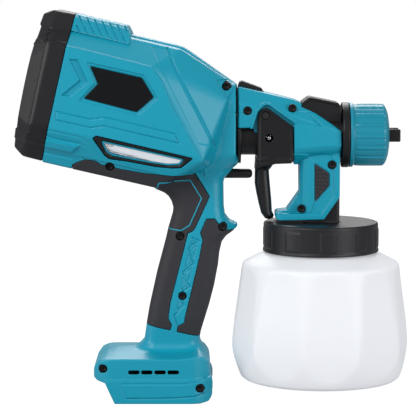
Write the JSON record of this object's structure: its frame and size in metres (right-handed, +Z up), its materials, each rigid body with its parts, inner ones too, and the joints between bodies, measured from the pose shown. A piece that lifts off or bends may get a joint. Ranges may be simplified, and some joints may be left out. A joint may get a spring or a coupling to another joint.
{
  "type": "cordless paint sprayer",
  "caption": "Pistol-grip cordless turbine paint sprayer with a removable spray head, trigger, threaded nozzle ring and a screw-on translucent paint cup.",
  "frame": {"origin": "centre of the sprayer's footprint at the underside of its battery foot", "axes": "+X towards the spray nozzle, +Z up, the housings part at Y = 0"},
  "size_m": [0.306, 0.135, 0.3018],
  "materials": {
    "teal_shell": "satin moulded plastic",
    "teal_nut": "satin moulded plastic",
    "black_plastic": "satin moulded plastic",
    "soft_grip": "matt soft rubber",
    "gloss_black": "gloss plate",
    "window": "clear over silver",
    "cup_plastic": "translucent natural plastic",
    "steel": "bright steel",
    "brass": "turned brass",
    "contact_copper": "plated contact",
    "filter_foam": "open-cell foam",
    "circuit_board": "green laminate",
    "silicone": "matt silicone",
    "tube_plastic": "natural plastic"
  },
  "bodies": {
    "housing": {"left_housing": "teal_shell", "right_housing": "teal_shell", "left_rear_grip": "soft_grip", "right_rear_grip": "soft_grip", "left_front_grip": "soft_grip", "right_front_grip": "soft_grip", "left_window_frame": "black_plastic", "right_window_frame": "black_plastic", "left_window_lens": "window", "right_window_lens": "window", "left_badge": "gloss_black", "right_badge": "gloss_black", "turbine_shroud": "black_plastic", "motor_can": "steel", "motor_mount_ring": "soft_grip", "outlet_duct": "black_plastic", "trigger_switch": "black_plastic", "control_board": "circuit_board", "terminal_block": "black_plastic", "contact_positive": "contact_copper", "contact_negative": "contact_copper", "plunger_spring": "steel", "housing_screw_1": "black_plastic", "housing_screw_2": "black_plastic", "housing_screw_3": "black_plastic", "housing_screw_4": "black_plastic", "housing_screw_5": "black_plastic", "housing_screw_6": "black_plastic", "housing_screw_7": "black_plastic"},
    "rotor": {"motor_shaft": "steel", "fan_impeller": "tube_plastic"},
    "plunger": {"switch_plunger": "black_plastic"},
    "rear_cover": {"rear_cover": "black_plastic", "air_filter": "filter_foam"},
    "gun": {"left_gun_shell": "teal_shell", "right_gun_shell": "teal_shell", "left_inlay": "soft_grip", "right_inlay": "soft_grip", "gun_barrel": "black_plastic", "nozzle_hood": "black_plastic", "cup_lid": "black_plastic", "suction_tube": "tube_plastic", "fluid_nozzle": "brass", "trigger_pivot_pin": "steel", "needle_spring": "steel", "gun_screw_1": "black_plastic", "gun_screw_2": "black_plastic", "gun_screw_3": "black_plastic", "gun_screw_4": "black_plastic"},
    "trigger": {"trigger": "black_plastic"},
    "needle": {"needle": "steel", "needle_cross_pin": "steel"},
    "release_button": {"release_button": "black_plastic"},
    "nozzle_nut": {"nozzle_nut": "teal_nut"},
    "air_cap": {"air_cap": "black_plastic"},
    "gasket": {"lid_gasket": "silicone"},
    "cup": {"paint_cup": "cup_plastic"}
  },
  "joints": [
    {"name": "rotor_spin", "type": "hinge", "parent": "housing", "child": "rotor", "pos_m": [-0.11843, 0, 0.23898], "axis": [0.9744, 0, -0.225], "continuous": true},
    {"name": "gun_release", "type": "slide", "parent": "housing", "child": "gun", "axis": [1, 0, 0], "range_m": [0, 0.045]},
    {"name": "trigger_pull", "type": "hinge", "parent": "gun", "child": "trigger", "pos_m": [0.0397, 0, 0.2206], "axis": [0, 1, 0], "range_deg": [0, 9], "stiffness_Nm_per_rad": 1.6, "springref_deg": -5.73},
    {"name": "plunger_press", "type": "slide", "parent": "housing", "child": "plunger", "axis": [-1, 0, 0], "range_m": [0, 0.0062], "deforming": ["plunger_spring"]},
    {"name": "needle_slide", "type": "slide", "parent": "gun", "child": "needle", "axis": [-1, 0, 0], "range_m": [0, 0.003], "deforming": ["needle_spring"]},
    {"name": "release_press", "type": "slide", "parent": "gun", "child": "release_button", "axis": [-0.222, 0, -0.975], "range_m": [0, 0.0024], "stiffness_N_per_m": 600, "springref_m": -0.001},
    {"name": "nozzle_nut_turn", "type": "hinge", "parent": "gun", "child": "nozzle_nut", "pos_m": [0.1156, 0, 0.2047], "axis": [1, 0, 0], "continuous": true},
    {"name": "air_cap_turn", "type": "hinge", "parent": "gun", "child": "air_cap", "pos_m": [0.1316, 0, 0.2047], "axis": [1, 0, 0], "range_deg": [-90, 90]},
    {"name": "cup_turn", "type": "hinge", "parent": "gun", "child": "gasket", "pos_m": [0.0836, 0, 0.132], "axis": [0, 0, 1], "range_deg": [-450, 0]},
    {"name": "cup_take_off", "type": "slide", "parent": "gasket", "child": "cup", "axis": [0, 0, -1], "range_m": [0, 0.125]},
    {"name": "rear_cover_pull", "type": "slide", "parent": "housing", "child": "rear_cover", "axis": [-0.9744, 0, 0.225], "range_m": [0, 0.04]}
  ],
  "couplings": [
    {"joint": "plunger_press", "follows": "trigger_pull", "m_per_rad": 0.0375},
    {"joint": "needle_slide", "follows": "trigger_pull", "m_per_rad": 0.0172}
  ]
}
